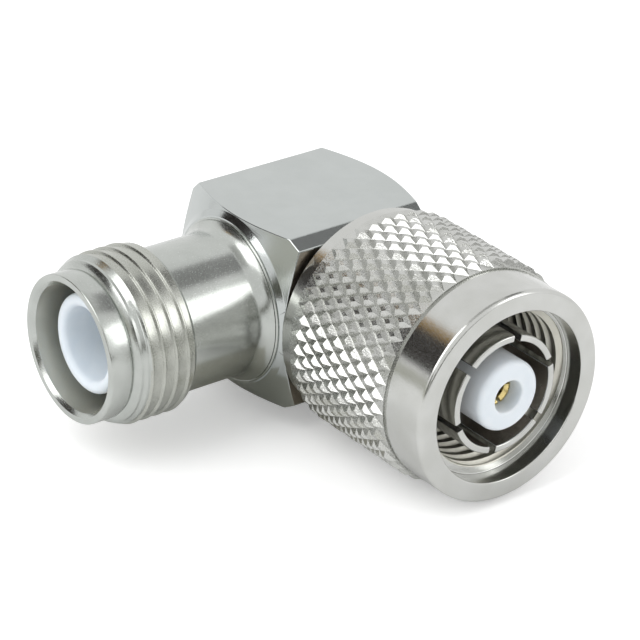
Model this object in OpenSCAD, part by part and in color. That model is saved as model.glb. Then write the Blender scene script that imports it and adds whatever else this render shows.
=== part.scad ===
// Right-angle coaxial adapter: threaded jack on one arm, plug with a knurled coupling nut on the other.
// The plug points along +X and the jack along -Y. The origin is on the block's lower flat,
// straight below the point where the two axes cross.

/* [Elbow block] */
// Distance from the jack axis to the block's plug side
plug_face = 5.45; // [5.3:0.05:6.5]
// Distance from the jack axis to the block's far side
far_face = 5.7; // [5.3:0.05:6.5]
// Height of the block across its flats
block_h = 12; // [11.4:0.1:14]
// Chamfer on the block's long edges
block_edge = 0.65; // [0.3:0.05:1]
// Distance from the plug axis to the land on the block's jack end
jack_face = 6.8; // [6.2:0.1:8]
// Distance from the plug axis to the block's closed end
back_face = 5.65; // [5.2:0.05:7]
// Diameter of the flat land on the jack end
jack_land_d = 11.1; // [10.6:0.1:12]
// Height of the flare between that land and the cone
flare_h = 0.38; // [0.2:0.02:0.6]
// Slope of the flare, in degrees
flare_slope = 39; // [30:1:60]
// Diameter of the flat land on the closed end
back_land_d = 10.8; // [9.6:0.1:12]
// Slope of the turned cone on the jack end, in degrees
jack_cone = 25; // [15:1:35]
// Slope of the turned cone on the closed end, in degrees
back_cone = 28; // [15:1:35]

/* [Access cap] */
// Diameter of the cap
cap_d = 7.4; // [7:0.1:8.4]
// Thickness of the cap
cap_t = 1.2; // [0.8:0.1:1.6]
// How far the cap sits below the closed end
cap_sink = 0.15; // [0.05:0.05:0.3]
// Chamfer round the cap's outer face
cap_edge = 0.2; // [0.1:0.05:0.4]

/* [Jack barrel] */
// Outside diameter of the thread
thread_d = 11.11; // [10.6:0.01:12]
// Length of the thread
thread_len = 3.7; // [3:0.1:7]
// Length of the cone that leads on to the thread
thread_lead = 0.8; // [0.3:0.1:1.2]
// Diameter of the smooth nose
nose_d = 9.66; // [9.4:0.02:10]
// Length of the smooth nose
nose_len = 1.6; // [1:0.1:3]
// Diameter of the smooth neck
neck_d = 9.5; // [9:0.1:10.2]
// Length of the smooth neck
neck_len = 5.85; // [3:0.05:12]
// How far the bead at the block stands out from the neck
bead_w = 0.75; // [0.5:0.05:0.9]
// Length of the bead
bead_len = 0.15; // [0.1:0.05:0.4]
// How far the bead's rim slopes in
bead_edge = 0.2; // [0.1:0.05:0.3]
// Radius of the fillet between the neck and the bead
neck_fillet = 1.2; // [0.8:0.1:1.6]
// Diameter of the spigot pressed into the block
jack_spigot_d = 8.2; // [7.8:0.1:8.8]
// Length of the spigot pressed into the block
jack_spigot_len = 2; // [1:0.1:2.2]
// Wall of the nose round the mouth bore
nose_wall = 0.68; // [0.6:0.01:0.8]
// Depth of the mouth bore, from the rim
mouth_depth = 8.7; // [8:0.1:9.5]
// Chamfer inside the rim
rim_chamfer = 0.25; // [0.1:0.05:0.55]
// Chamfer outside the rim
rim_edge = 0.1; // [0.05:0.05:0.15]

/* [Jack insulator and pin] */
// Outside diameter of the insulators in both arms
insulator_d = 6.5; // [6.2:0.1:6.8]
// Inside diameter of the cup
cup_d = 4.84; // [4.76:0.02:5.2]
// How far the cup's front lies behind the rim
cup_recess = 1.15; // [0.5:0.05:2]
// Depth of the cup
cup_depth = 6.3; // [5:0.1:7]
// Rounding of the cup's lip
cup_edge = 0.25; // [0.05:0.05:0.35]
// Diameter of the pin
pin_d = 1.36; // [1.2:0.02:1.5]
// How far the pin's tip lies behind the cup's front
pin_recess = 2.6; // [2:0.1:3.5]
// Length of the taper at the pin's tip
pin_taper = 0.7; // [0.4:0.1:1]
// Diameter of the flat at the pin's tip
pin_tip_d = 0.68; // [0.4:0.02:1]
// Diameter of the pin's body
pin_body_d = 2.1; // [1.8:0.1:2.4]
// How far the contacts' tails run past the crossing of the axes
tail_past = 1.6; // [1.2:0.1:2]
// Distance from the crossing of the axes to the insulators' inner ends
insulator_back = 3.5; // [3.45:0.05:4]

/* [Plug shell] */
// Diameter of the hub that the nut turns on
hub_d = 10; // [9.8:0.1:10.2]
// Length of the hub, from the block's face to its front
hub_len = 6.55; // [5.8:0.05:7.2]
// Diameter of the spigot pressed into the block
plug_spigot_d = 8.4; // [7.8:0.1:8.8]
// Length of the spigot pressed into the block
plug_spigot_len = 1.3; // [1:0.1:1.4]
// Depth of the seat for the spring sleeve, from the hub's front
sleeve_seat = 3; // [2:0.1:3.2]

/* [Spring sleeve] */
// Outside diameter of the sleeve
sleeve_d = 7.9; // [7.7:0.05:8]
// Wall of the sleeve
sleeve_wall = 0.45; // [0.35:0.05:0.5]
// How far the sleeve's tip lies behind the nut's front
sleeve_recess = 0.47; // [0.2:0.01:1.5]
// Number of slots
slot_count = 6; // [4:1:8]
// Width of a slot
slot_w = 0.55; // [0.3:0.01:0.7]
// Length of the unslotted stretch ahead of the hub
slot_root = 1.6; // [1.2:0.1:3]
// Turn of the slots about the plug axis, in degrees
slot_turn = 49; // [0:1:60]
// Chamfer at the sleeve's tip
tip_edge = 0.12; // [0.05:0.01:0.15]

/* [Plug insulator and socket] */
// Diameter of the core
core_d = 4.7; // [4.4:0.05:4.75]
// How far the core's front lies behind the nut's front
core_recess = 0.1; // [0:0.05:1]
// Rounding of the core's front edge
core_round = 0.4; // [0.2:0.05:0.6]
// Length of the full-width stretch ahead of the hub
core_land = 0.9; // [0.4:0.1:1.1]
// Chamfer round the hole in the core's front
core_edge = 0.12; // [0.05:0.01:0.3]
// How far the socket's front lies behind the core's front
socket_recess = 1.15; // [0.6:0.05:2]
// Outside diameter of the socket
socket_d = 2.1; // [2:0.05:2.4]
// Inside diameter of the socket
socket_bore_d = 1.42; // [1.38:0.02:1.5]
// Depth of the socket's bore
socket_depth = 5; // [4.5:0.1:6]
// Thickness behind the socket's bore
socket_floor = 1; // [0.6:0.1:1.6]
// Width of the socket's two slits
slit_w = 0.25; // [0.15:0.05:0.3]
// Length of the slits
slit_len = 4; // [3:0.1:4.4]
// Turn of the slits about the plug axis, in degrees
slit_turn = 15; // [0:1:90]
// Chamfer inside the socket's mouth
socket_lead = 0.2; // [0.05:0.05:0.3]
// Diameter of the socket's tail
socket_tail_d = 1.2; // [1:0.05:1.3]

/* [Coupling nut] */
// Gap between the block and the nut
nut_gap = 0.55; // [0.2:0.05:0.8]
// How far the smooth collar at the nut's rear lies below the knurl's valleys
collar_step = 0.2; // [0.02:0.02:0.3]
// Length of the rear collar
collar_len = 1.1; // [0.8:0.1:2]
// Chamfer at the nut's rear
collar_edge = 0.1; // [0.05:0.05:0.6]
// Diameter over the knurl
knurl_d = 14.94; // [14.7:0.02:15.6]
// Depth of the knurl
knurl_depth = 0.27; // [0.2:0.01:0.4]
// Length of the knurl
knurl_len = 9.4; // [8.6:0.1:12]
// Diamonds round the knurl
knurl_count = 46; // [40:1:60]
// Length of a diamond along the nut
knurl_pitch = 1.67; // [1.2:0.01:2]
// Width of the groove between the knurl and the front ring
ring_groove = 0.15; // [0.1:0.05:0.3]
// Diameter of the smooth front ring
ring_d = 14.16; // [13.8:0.02:15]
// Length of the front ring
ring_len = 3.2; // [2.8:0.1:5]
// Rounding of the front ring's outer edge
ring_round = 0.35; // [0.1:0.05:0.5]
// Diameter of the nut's smooth mouth
nut_mouth_d = 11.44; // [11.2:0.02:12]
// Depth of the nut's smooth mouth
nut_mouth_depth = 1.35; // [1:0.05:3.5]
// Inside diameter of the nut's thread
nut_thread_d = 10.3; // [10.2:0.02:10.6]
// Diameter of the relief behind the thread
relief_d = 11.3; // [11.2:0.05:11.6]
// Length of the relief behind the thread
relief_len = 1; // [0.6:0.1:1.4]
// Length of the nut's bearing on the hub, from the nut's rear
bearing_len = 4.3; // [4:0.1:4.6]

/* [Retaining ring and gasket] */
// Distance from the nut's rear to the ring's groove
clip_back = 1.9; // [1.5:0.1:2.2]
// Thickness of the retaining ring
clip_t = 0.7; // [0.5:0.05:0.9]
// Depth of the ring's groove in the hub
clip_in = 0.55; // [0.4:0.05:0.7]
// How far the ring stands out into the nut
clip_out = 0.4; // [0.25:0.05:0.5]
// Width of the split in the ring
clip_split = 1.2; // [0.6:0.1:2]
// Thickness of the gasket
gasket_t = 0.8; // [0.6:0.05:1.1]
// Outside diameter of the gasket
gasket_d = 9.9; // [9.4:0.05:10]

/* [Clearances] */
// Radial clearance between the nut and the hub
running_gap = 0.05; // [0.02:0.01:0.1]
// Clearance round the retaining ring
clip_gap = 0.1; // [0.05:0.01:0.15]
// Radial clearance of pieces that are pressed together
press_gap = 0.02; // [0.01:0.01:0.04]

/* [Hidden] */
$fn = 96;

nickel = [0.74, 0.74, 0.71];
gold = [0.83, 0.65, 0.28];
white_insulator = [0.93, 0.94, 0.96];
spring_steel = [0.55, 0.55, 0.55];
dark_rubber = [0.16, 0.16, 0.17];

// Height of both axes above the block's lower flat
axis_z = block_h / 2;
// Distance that a cut runs past the face it opens
past = 1;
// Radius beyond every corner of the block
beyond_r = norm([max(plug_face, far_face), block_h / 2]) + past;

// Places along the jack axis, from the crossing of the axes
bead_s = jack_face + bead_len;
thread_s = bead_s + neck_len;
lead_s = thread_s + thread_len;
nose_s = lead_s + thread_lead;
jack_reach = nose_s + nose_len;
jack_spigot_s = jack_face - jack_spigot_len;
mouth_s = jack_reach - mouth_depth;
cup_s = jack_reach - cup_recess;
cup_floor_s = cup_s - cup_depth;
pin_tip_s = cup_s - pin_recess;

// Places along the plug axis, from the crossing of the axes
plug_spigot_s = plug_face - plug_spigot_len;
hub_s = plug_face + hub_len;
sleeve_s = hub_s - sleeve_seat;
nut_s = plug_face + nut_gap;
clip_s = nut_s + clip_back;
bearing_s = nut_s + bearing_len;
knurl_s = nut_s + collar_len;
knurl_end_s = knurl_s + knurl_len;
ring_s = knurl_end_s + ring_groove;
plug_reach = ring_s + ring_len;
nut_mouth_s = plug_reach - nut_mouth_depth;
sleeve_tip_s = plug_reach - sleeve_recess;
core_s = plug_reach - core_recess;
core_land_s = hub_s + core_land;
socket_s = core_s - socket_recess;
socket_base_s = socket_s - socket_depth - socket_floor;

// Radii and diameters that follow from the sizes above
mouth_d = nose_d - 2 * nose_wall;
neck_r = neck_d / 2;
bead_r = neck_r + bead_w;
collar_r = knurl_d / 2 - knurl_depth - collar_step;

// Radii that mating pieces share
insulator_r = insulator_d / 2;
seat_r = insulator_r + press_gap;
hub_r = hub_d / 2;
sleeve_r = sleeve_d / 2;
sleeve_bore_r = sleeve_r - sleeve_wall;
clip_in_r = hub_r - clip_in;
clip_out_r = hub_r + clip_out;
clip_room = clip_t + 2 * clip_gap;

// Carries children drawn along +Z on to the jack axis
module on_jack() {
    translate([0, 0, axis_z]) rotate([90, 0, 0]) children();
}

// Carries children drawn along +Z on to the plug axis
module on_plug() {
    translate([0, 0, axis_z]) rotate([0, 90, 0]) children();
}

// Solid turned from a profile of [radius, place along the axis]
module turned(profile) {
    rotate_extrude() polygon(profile);
}

// Round hole from one place along the axis to another
module hole(r, from, to) {
    translate([0, 0, from]) cylinder(r = r, h = to - from);
}

// Quarter circle of an outer edge, from the side of a turned piece to its front
function front_round(r, s, round_r, steps = 6) = [
    for (i = [0 : steps])
        [r - round_r + round_r * cos(90 * i / steps), s - round_r + round_r * sin(90 * i / steps)]
];

// Quarter or less of a hollow fillet on a turned piece, from a height above its side down to that side
function side_fillet(r, s, height, fillet_r, steps = 6) =
    let (sweep = acos(1 - height / fillet_r))
    let (foot = s + fillet_r * sin(sweep))
    [
        for (i = [0 : steps])
            let (turn = sweep * (1 - i / steps))
            [r + fillet_r * (1 - cos(turn)), foot - fillet_r * sin(turn)]
    ];

// Section of the bar with chamfered corners, from one side to the other, with half height b
function bar_section(from, to, b, c) = [
    [to - c, -b], [to, c - b], [to, b - c], [to - c, b],
    [from + c, b], [from, b - c], [from, c - b], [from + c, -b]
];

// Turned envelope that cuts both ends of the bar to a land and a cone, with a flare at the jack's land
module block_envelope() {
    jack_r = jack_land_d / 2;
    flare_r = jack_r + flare_h / tan(flare_slope);
    flare_s = jack_face - flare_h;
    back_r = back_land_d / 2;
    turned([
        [0, -back_face],
        [back_r, -back_face],
        [beyond_r, (beyond_r - back_r) * tan(back_cone) - back_face],
        [beyond_r, flare_s - (beyond_r - flare_r) * tan(jack_cone)],
        [flare_r, flare_s],
        [jack_r, jack_face],
        [0, jack_face]
    ]);
}

module elbow_block() {
    cap_seat_s = cap_sink + cap_t - back_face;
    color(nickel) difference() {
        on_jack() intersection() {
            translate([0, 0, -back_face - past])
                linear_extrude(back_face + jack_face + 2 * past)
                    polygon(bar_section(-far_face, plug_face, axis_z, block_edge));
            block_envelope();
        }
        on_jack() {
            hole(jack_spigot_d / 2 + press_gap, jack_spigot_s, jack_face + past);
            hole(seat_r, cap_seat_s - past, jack_spigot_s + past);
            hole(cap_d / 2 + press_gap, -back_face - past, cap_seat_s);
        }
        on_plug() {
            hole(plug_spigot_d / 2 + press_gap, plug_spigot_s, plug_face + past);
            hole(seat_r, 0, plug_spigot_s + past);
        }
    }
}

module access_cap() {
    r = cap_d / 2;
    outer_s = back_face - cap_sink;
    color(nickel) on_jack() mirror([0, 0, 1]) turned([
        [0, outer_s - cap_t],
        [r, outer_s - cap_t],
        [r, outer_s - cap_edge],
        [r - cap_edge, outer_s],
        [0, outer_s]
    ]);
}

module jack_barrel() {
    mouth_r = mouth_d / 2;
    color(nickel) on_jack() turned(concat(
        [
            [seat_r, jack_spigot_s],
            [jack_spigot_d / 2, jack_spigot_s],
            [jack_spigot_d / 2, jack_face],
            [bead_r, jack_face]
        ],
        side_fillet(neck_r, bead_s, bead_w - bead_edge, neck_fillet),
        [
            [neck_r, thread_s],
            [thread_d / 2, thread_s],
            [thread_d / 2, lead_s],
            [nose_d / 2, nose_s],
            [nose_d / 2, jack_reach - rim_edge],
            [nose_d / 2 - rim_edge, jack_reach],
            [mouth_r + rim_chamfer, jack_reach],
            [mouth_r, jack_reach - rim_chamfer],
            [mouth_r, mouth_s],
            [seat_r, mouth_s]
        ]
    ));
}

module jack_insulator() {
    cup_r = cup_d / 2;
    pin_hole_r = pin_body_d / 2 + press_gap;
    color(white_insulator) on_jack() turned([
        [pin_hole_r, insulator_back],
        [insulator_r, insulator_back],
        [insulator_r, cup_s - cup_edge],
        [insulator_r - cup_edge, cup_s],
        [cup_r + cup_edge, cup_s],
        [cup_r, cup_s - cup_edge],
        [cup_r, cup_floor_s],
        [pin_hole_r, cup_floor_s]
    ]);
}

module jack_pin() {
    color(gold) difference() {
        on_jack() turned([
            [0, -tail_past],
            [pin_body_d / 2, -tail_past],
            [pin_body_d / 2, cup_floor_s],
            [pin_d / 2, cup_floor_s],
            [pin_d / 2, pin_tip_s - pin_taper],
            [pin_tip_d / 2, pin_tip_s],
            [0, pin_tip_s]
        ]);
        on_plug() hole(socket_tail_d / 2 + press_gap, -pin_body_d, pin_body_d);
    }
}

module plug_shell() {
    sleeve_seat_r = sleeve_r + press_gap;
    color(nickel) on_plug() turned([
        [seat_r, plug_spigot_s],
        [plug_spigot_d / 2, plug_spigot_s],
        [plug_spigot_d / 2, plug_face],
        [hub_r, plug_face],
        [hub_r, clip_s],
        [clip_in_r, clip_s],
        [clip_in_r, clip_s + clip_room],
        [hub_r, clip_s + clip_room],
        [hub_r, hub_s],
        [sleeve_seat_r, hub_s],
        [sleeve_seat_r, sleeve_s],
        [seat_r, sleeve_s]
    ]);
}

module outer_contact() {
    slot_s = hub_s + slot_root;
    color(nickel) on_plug() difference() {
        turned([
            [sleeve_bore_r, sleeve_s],
            [sleeve_r, sleeve_s],
            [sleeve_r, sleeve_tip_s - tip_edge],
            [sleeve_r - tip_edge, sleeve_tip_s],
            [sleeve_bore_r + tip_edge, sleeve_tip_s],
            [sleeve_bore_r, sleeve_tip_s - tip_edge]
        ]);
        for (i = [0 : slot_count - 1])
            rotate(slot_turn + i * 360 / slot_count)
                translate([0, -slot_w / 2, slot_s])
                    cube([sleeve_r + past, slot_w, sleeve_tip_s - slot_s + past]);
    }
}

module plug_insulator() {
    socket_hole_r = socket_d / 2 + press_gap;
    tail_hole_r = socket_tail_d / 2 + press_gap;
    land_r = sleeve_bore_r - press_gap;
    color(white_insulator) on_plug() turned(concat(
        [
            [tail_hole_r, insulator_back],
            [insulator_r, insulator_back],
            [insulator_r, sleeve_s],
            [land_r, sleeve_s],
            [land_r, core_land_s],
            [core_d / 2, core_land_s]
        ],
        front_round(core_d / 2, core_s, core_round),
        [
            [socket_hole_r + core_edge, core_s],
            [socket_hole_r, core_s - core_edge],
            [socket_hole_r, socket_base_s],
            [tail_hole_r, socket_base_s]
        ]
    ));
}

module plug_socket() {
    tail_r = socket_tail_d / 2;
    color(gold) on_plug() difference() {
        turned([
            [0, -tail_past],
            [tail_r, -tail_past],
            [tail_r, socket_base_s],
            [socket_d / 2, socket_base_s],
            [socket_d / 2, socket_s],
            [socket_bore_d / 2 + socket_lead, socket_s],
            [socket_bore_d / 2, socket_s - socket_lead],
            [socket_bore_d / 2, socket_s - socket_depth],
            [0, socket_s - socket_depth]
        ]);
        for (turn = [0, 90])
            rotate(slit_turn + turn)
                translate([-socket_d, -slit_w / 2, socket_s - slit_len])
                    cube([2 * socket_d, slit_w, slit_len + past]);
    }
}

// Points of one station of the knurl: crests and valleys alternate, and both end stations lie in the valleys
function knurl_station(k, stations, crest_r, valley_r) = [
    for (i = [0 : 2 * knurl_count - 1])
        let (crest = (i + k) % 2 == 0 && k > 0 && k < stations)
        let (r = crest ? crest_r : valley_r)
        let (turn = 180 * i / knurl_count)
        [r * cos(turn), r * sin(turn), knurl_s + knurl_len * k / stations]
];

// Two triangles between two stations, split along the valley
function knurl_cell(i, k, around) =
    let (a = k * around + i)
    let (b = k * around + (i + 1) % around)
    let (c = b + around)
    let (d = a + around)
    (i + k) % 2 == 0 ? [[a, d, b], [b, d, c]] : [[a, d, c], [a, c, b]];

// Diamond knurl: rows of four-sided points, each half a step round from the next row
module knurl() {
    stations = round(2 * knurl_len / knurl_pitch);
    around = 2 * knurl_count;
    crest_r = knurl_d / 2;
    valley_r = crest_r - knurl_depth;
    points = [for (k = [0 : stations]) each knurl_station(k, stations, crest_r, valley_r)];
    sides = [for (k = [0 : stations - 1]) for (i = [0 : around - 1]) each knurl_cell(i, k, around)];
    rear = [for (i = [0 : around - 1]) i];
    front = [for (i = [around - 1 : -1 : 0]) stations * around + i];
    polyhedron(points = points, faces = concat(sides, [rear, front]));
}

module coupling_nut() {
    bearing_r = hub_r + running_gap;
    clip_room_r = clip_out_r + clip_gap;
    mouth_r = nut_mouth_d / 2;
    color(nickel) on_plug() difference() {
        union() {
            turned(concat(
                [
                    [0, nut_s],
                    [collar_r - collar_edge, nut_s],
                    [collar_r, nut_s + collar_edge],
                    [collar_r, ring_s],
                    [ring_d / 2, ring_s]
                ],
                front_round(ring_d / 2, plug_reach, ring_round),
                [[0, plug_reach]]
            ));
            knurl();
        }
        turned([
            [0, nut_s - past],
            [bearing_r, nut_s - past],
            [bearing_r, clip_s],
            [clip_room_r, clip_s],
            [clip_room_r, clip_s + clip_room],
            [bearing_r, clip_s + clip_room],
            [bearing_r, bearing_s],
            [relief_d / 2, bearing_s],
            [relief_d / 2, bearing_s + relief_len],
            [nut_thread_d / 2, bearing_s + relief_len],
            [nut_thread_d / 2, nut_mouth_s],
            [mouth_r, nut_mouth_s],
            [mouth_r, plug_reach + past],
            [0, plug_reach + past]
        ]);
    }
}

module retaining_ring() {
    inner_r = clip_in_r + press_gap;
    color(spring_steel) on_plug() difference() {
        turned([
            [inner_r, clip_s + clip_gap],
            [clip_out_r, clip_s + clip_gap],
            [clip_out_r, clip_s + clip_gap + clip_t],
            [inner_r, clip_s + clip_gap + clip_t]
        ]);
        translate([0, -clip_split / 2, clip_s])
            cube([clip_out_r + past, clip_split, clip_room]);
    }
}

module gasket() {
    inner_r = sleeve_r + press_gap;
    color(dark_rubber) on_plug() turned([
        [inner_r, hub_s],
        [gasket_d / 2, hub_s],
        [gasket_d / 2, hub_s + gasket_t],
        [inner_r, hub_s + gasket_t]
    ]);
}

elbow_block();
access_cap();
jack_barrel();
jack_insulator();
jack_pin();
plug_shell();
outer_contact();
plug_insulator();
plug_socket();
coupling_nut();
retaining_ring();
gasket();
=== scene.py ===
"""Looks of a right-angle coaxial adapter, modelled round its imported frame.

Every piece is drawn in millimetres along +Z, the axis that it is turned about, and is then set in place
on its arm of the adapter in metres.
"""

import logging
import math
from dataclasses import dataclass
from enum import Enum
from typing import Callable, Sequence

import bmesh
import bpy
from mathutils import Matrix, Vector


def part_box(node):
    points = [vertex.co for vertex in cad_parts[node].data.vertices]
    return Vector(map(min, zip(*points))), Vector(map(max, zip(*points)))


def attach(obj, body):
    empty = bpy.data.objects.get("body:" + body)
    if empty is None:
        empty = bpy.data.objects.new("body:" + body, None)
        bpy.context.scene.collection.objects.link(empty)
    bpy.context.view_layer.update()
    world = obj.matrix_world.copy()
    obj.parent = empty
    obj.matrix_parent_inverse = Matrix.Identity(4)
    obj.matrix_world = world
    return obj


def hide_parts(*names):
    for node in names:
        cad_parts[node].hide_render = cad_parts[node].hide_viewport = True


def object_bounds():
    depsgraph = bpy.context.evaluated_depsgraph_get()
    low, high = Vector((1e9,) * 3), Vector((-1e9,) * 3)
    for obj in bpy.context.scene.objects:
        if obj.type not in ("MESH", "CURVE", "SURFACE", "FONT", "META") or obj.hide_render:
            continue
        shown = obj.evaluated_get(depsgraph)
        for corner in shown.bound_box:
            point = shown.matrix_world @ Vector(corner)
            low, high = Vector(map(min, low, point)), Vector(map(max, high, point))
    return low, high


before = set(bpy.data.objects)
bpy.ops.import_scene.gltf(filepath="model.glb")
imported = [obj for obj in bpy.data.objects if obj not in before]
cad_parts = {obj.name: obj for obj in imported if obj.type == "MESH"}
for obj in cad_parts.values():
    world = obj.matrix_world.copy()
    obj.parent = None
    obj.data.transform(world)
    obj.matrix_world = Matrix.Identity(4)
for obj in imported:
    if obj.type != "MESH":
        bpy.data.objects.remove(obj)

LOG = logging.getLogger("adapter")
CAD_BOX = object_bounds()

Piece = bpy.types.Object
Socket = bpy.types.NodeSocket
Colour = tuple[float, float, float]

MM = 0.001
FULL_TURN = 2 * math.pi
MERGE = 1e-4
ARC_STEP = math.radians(16)
ARC_ROOM = 0.48
TURNED_STEPS = 192
ROD_LEAD = 3
ROD_SPARE = 5
PAST = 1.0
CLOUD_DETAIL = 3.0
MARK_DETAIL = 1.0
NOISE_SPAN = (0.3, 0.7)
TINT_SPAN = (0.35, 0.65)
FACE_WEIGHT = 100


def reach(node: str, axis: int, far: bool) -> float:
    """Finds how far a node of the frame reaches.

    Args:
        node: Name of the node.
        axis: 0, 1 or 2 for X, Y or Z.
        far: True for the high side of its box.

    Returns:
        The coordinate in millimetres.
    """
    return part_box(node)[1 if far else 0][axis] / MM


AXIS_Z = (reach("elbow_block", 2, True) + reach("elbow_block", 2, False)) / 2


class Body(Enum):
    """Moving body that a piece rides on."""

    ELBOW = "elbow"
    NUT = "nut"


class Arm(Enum):
    """Axis that a piece is turned about."""

    JACK = ("X", 90)
    PLUG = ("Y", 90)
    BACK = ("X", -90)

    def placing(self) -> Matrix:
        """Gives the matrix from a drawing in millimetres along +Z to its place in metres."""
        about, degrees = self.value
        turn = Matrix.Rotation(math.radians(degrees), 4, about)
        return Matrix.Translation((0, 0, AXIS_Z * MM)) @ turn @ Matrix.Scale(MM, 4)


class Edge(float, Enum):
    """Roundings of turned edges in millimetres, from the sharpest to the softest."""

    HAIR = 0.02
    CRISP = 0.03
    FINE = 0.04
    BROKEN = 0.05
    SOFT = 0.06
    EASED = 0.08
    ROUNDED = 0.1


@dataclass(frozen=True)
class Corner:
    """Corner of a turned profile: its radius, its place along the axis and the rounding of its edge."""

    r: float
    s: float
    ease: float = 0.0

    def point(self) -> Vector:
        """Gives the corner as a point of the profile's plane."""
        return Vector((self.r, self.s))


def arc_round(corner: Corner, before: Corner, after: Corner) -> list[Vector]:
    """Rounds one corner of a profile.

    Args:
        corner: The corner to round.
        before: Its neighbour on one side.
        after: Its neighbour on the other side.

    Returns:
        The points of the arc that takes the corner's place.
    """
    here = corner.point()
    back = before.point() - here
    ahead = after.point() - here
    half = back.angle(ahead) / 2
    room = ARC_ROOM * min(back.length, ahead.length)
    run = min(corner.ease / math.tan(half), room)
    to_back = back.normalized()
    to_ahead = ahead.normalized()
    centre = here + (to_back + to_ahead).normalized() * run / math.cos(half)
    first = here + to_back * run - centre
    last = here + to_ahead * run - centre
    sweep = math.atan2(first.x * last.y - first.y * last.x, first.dot(last))
    steps = max(2, math.ceil(abs(sweep) / ARC_STEP))
    return [centre + Matrix.Rotation(sweep * k / steps, 2) @ first for k in range(steps + 1)]


def eased(corners: Sequence[Corner], closed: bool) -> list[Vector]:
    """Turns a profile's corners into points, with arcs at the rounded ones.

    Args:
        corners: The profile in order.
        closed: True where the last corner joins the first.

    Returns:
        The points of the profile in order.
    """
    count = len(corners)
    points: list[Vector] = []
    for i, corner in enumerate(corners):
        at_end = not closed and i in (0, count - 1)
        if corner.ease == 0 or at_end:
            points.append(corner.point())
        else:
            points += arc_round(corner, corners[i - 1], corners[(i + 1) % count])
    return points


def select_only(piece: Piece) -> None:
    """Makes a piece the only selected object, and the active one."""
    bpy.ops.object.select_all(action="DESELECT")
    piece.select_set(True)
    bpy.context.view_layer.objects.active = piece


def edit(piece: Piece) -> None:
    """Opens a piece in edit mode with all of it selected."""
    select_only(piece)
    bpy.ops.object.mode_set(mode="EDIT")
    bpy.ops.mesh.select_all(action="SELECT")


def leave_edit() -> None:
    """Goes back to object mode."""
    bpy.ops.object.mode_set(mode="OBJECT")


class Element(Enum):
    """Kind of element that is selected in edit mode, and where a mesh keeps it."""

    POINTS = ("VERT", "verts")
    EDGES = ("EDGE", "edges")
    FACES = ("FACE", "faces")


def pick(piece: Piece, kind: Element, chosen: Callable[..., bool]) -> None:
    """Selects some elements of a piece that is open in edit mode, and nothing else.

    Args:
        piece: The piece, in edit mode.
        kind: Kind of the elements.
        chosen: Tells of an element whether it is selected.
    """
    mode, keeper = kind.value
    bpy.ops.mesh.select_all(action="DESELECT")
    bpy.ops.mesh.select_mode(type=mode)
    mesh = bmesh.from_edit_mesh(piece.data)
    for element in getattr(mesh, keeper):
        element.select_set(chosen(element))
    mesh.select_flush_mode()
    bmesh.update_edit_mesh(piece.data)


def cuboid(name: str, size: Sequence[float], middle: Sequence[float]) -> Piece:
    """Adds a cuboid to cut with or to shape further.

    Args:
        name: Name of the cuboid.
        size: Its sizes along X, Y and Z.
        middle: Place of its middle.

    Returns:
        The cuboid, open in edit mode.
    """
    bpy.ops.object.select_all(action="DESELECT")
    bpy.ops.mesh.primitive_cube_add(size=1)
    piece = bpy.context.object
    piece.name = name
    edit(piece)
    bpy.ops.transform.resize(value=size)
    bpy.ops.transform.translate(value=middle)
    return piece


def close_up() -> None:
    """Merges doubles and turns the faces outwards, in edit mode."""
    bpy.ops.mesh.select_all(action="SELECT")
    bpy.ops.mesh.remove_doubles(threshold=MERGE)
    bpy.ops.mesh.normals_make_consistent(inside=False)


def draw_outline(name: str, points: Sequence[Vector], closed: bool) -> Piece:
    """Draws a profile in the XZ plane by extruding a vertex from point to point, and stays in edit mode.

    Args:
        name: Name of the new piece.
        points: Radius and place along the axis of each point.
        closed: True where the last point joins the first.

    Returns:
        The new piece, in edit mode.
    """
    bpy.ops.object.select_all(action="DESELECT")
    bpy.ops.mesh.primitive_plane_add(size=PAST)
    piece = bpy.context.object
    piece.name = name
    bpy.ops.object.mode_set(mode="EDIT")
    bpy.ops.mesh.select_all(action="SELECT")
    bpy.ops.mesh.merge(type="CENTER")
    bpy.ops.transform.translate(value=(points[0].x, 0, points[0].y))
    route = list(points) + ([points[0]] if closed else [])
    for here, there in zip(route, route[1:]):
        move = (there.x - here.x, 0, there.y - here.y)
        bpy.ops.mesh.extrude_region_move(TRANSFORM_OT_translate={"value": move})
    bpy.ops.mesh.select_all(action="SELECT")
    bpy.ops.mesh.remove_doubles(threshold=MERGE)
    bpy.ops.mesh.select_all(action="SELECT")
    return piece


def turned(name: str, profile: Sequence[Sequence[float]]) -> Piece:
    """Turns a profile about the axis.

    Args:
        name: Name of the new piece.
        profile: Radius, place and rounding of its corners in order. One that starts on the axis ends there.

    Returns:
        The turned piece, still in millimetres along +Z.
    """
    corners = [Corner(*spot) for spot in profile]
    closed = corners[0].r > 0
    piece = draw_outline(name, eased(corners, closed), closed)
    bpy.ops.mesh.spin(steps=TURNED_STEPS, angle=FULL_TURN, center=(0, 0, 0), axis=(0, 0, 1))
    close_up()
    leave_edit()
    return piece


def apply_modifier(piece: Piece, modifier: bpy.types.Modifier) -> None:
    """Applies one modifier of a piece."""
    select_only(piece)
    bpy.ops.object.modifier_apply(modifier=modifier.name)


class Cut(Enum):
    """How a cutter changes a piece."""

    AWAY = "DIFFERENCE"
    WITHIN = "INTERSECT"


def cut(piece: Piece, cutter: Piece, how: Cut = Cut.AWAY) -> None:
    """Cuts a piece with another one and throws the cutter away.

    Args:
        piece: The piece to cut.
        cutter: The closed shape that cuts it.
        how: Whether the cutter's inside goes or stays.
    """
    modifier = piece.modifiers.new("cut", "BOOLEAN")
    modifier.operation = how.value
    modifier.object = cutter
    modifier.solver = "EXACT"
    apply_modifier(piece, modifier)
    bpy.data.objects.remove(cutter)


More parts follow.
